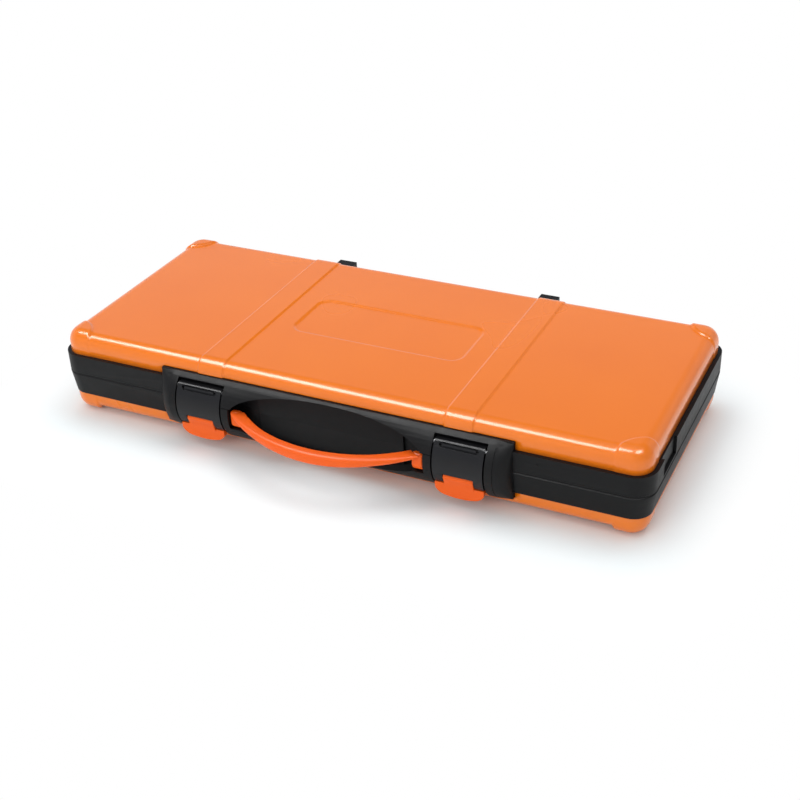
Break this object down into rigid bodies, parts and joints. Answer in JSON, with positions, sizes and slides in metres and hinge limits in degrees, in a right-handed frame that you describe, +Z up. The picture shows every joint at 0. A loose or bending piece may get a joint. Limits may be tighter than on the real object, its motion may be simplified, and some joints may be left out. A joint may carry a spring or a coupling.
{
  "type": "hard tool case",
  "caption": "Flat orange and black hard tool case with bow handle, pull latches and a hinged lid.",
  "frame": {"origin": "middle of the case's overall box, on the surface that its corner feet stand on", "axes": "+X along the case to its right end, +Y to the hinges at the back, +Z up through the closed lid"},
  "size_m": [0.4, 0.2115, 0.0585],
  "materials": {
    "orange_paint": "gloss",
    "orange_plastic": "satin",
    "black_plastic": "satin",
    "latch_plastic": "satin",
    "tray_plastic": "satin",
    "steel": "satin",
    "foam": "matte"
  },
  "bodies": {
    "base": {"base_shell": "orange_paint", "base_frame": "black_plastic", "base_rivets": "steel", "tool_tray": "tray_plastic", "handle_pin_left": "steel", "handle_pin_right": "steel", "hinge_pin_left": "steel", "hinge_pin_right": "steel"},
    "lid": {"lid_shell": "orange_paint", "lid_frame": "black_plastic", "lid_rivets": "steel", "lid_foam": "foam", "latch_pin_left": "steel", "latch_pin_right": "steel"},
    "handle_body": {"handle": "orange_plastic"},
    "latch_left": {"latch_plate_left": "latch_plastic", "tab_pin_left": "steel"},
    "latch_right": {"latch_plate_right": "latch_plastic", "tab_pin_right": "steel"},
    "tab_left": {"release_tab_left": "orange_plastic"},
    "tab_right": {"release_tab_right": "orange_plastic"}
  },
  "joints": [
    {"name": "lid_hinge", "type": "hinge", "parent": "base", "child": "lid", "pos_m": [0, 0.10125, 0.0295], "axis": [-1, 0, 0], "range_deg": [0, 180]},
    {"name": "handle_swing", "type": "hinge", "parent": "base", "child": "handle_body", "pos_m": [0, -0.07725, 0.0248], "axis": [-1, 0, 0], "range_deg": [0, 55]},
    {"name": "latch_left_swing", "type": "hinge", "parent": "lid", "child": "latch_left", "pos_m": [-0.088, -0.07705, 0.0412], "axis": [-1, 0, 0], "range_deg": [0, 90]},
    {"name": "latch_right_swing", "type": "hinge", "parent": "lid", "child": "latch_right", "pos_m": [0.088, -0.07705, 0.0412], "axis": [-1, 0, 0], "range_deg": [0, 90]},
    {"name": "tab_left_swing", "type": "hinge", "parent": "latch_left", "child": "tab_left", "pos_m": [-0.088, -0.07996, 0.02075], "axis": [-1, 0, 0], "range_deg": [0, 40]},
    {"name": "tab_right_swing", "type": "hinge", "parent": "latch_right", "child": "tab_right", "pos_m": [0.088, -0.07996, 0.02075], "axis": [-1, 0, 0], "range_deg": [0, 40]}
  ]
}
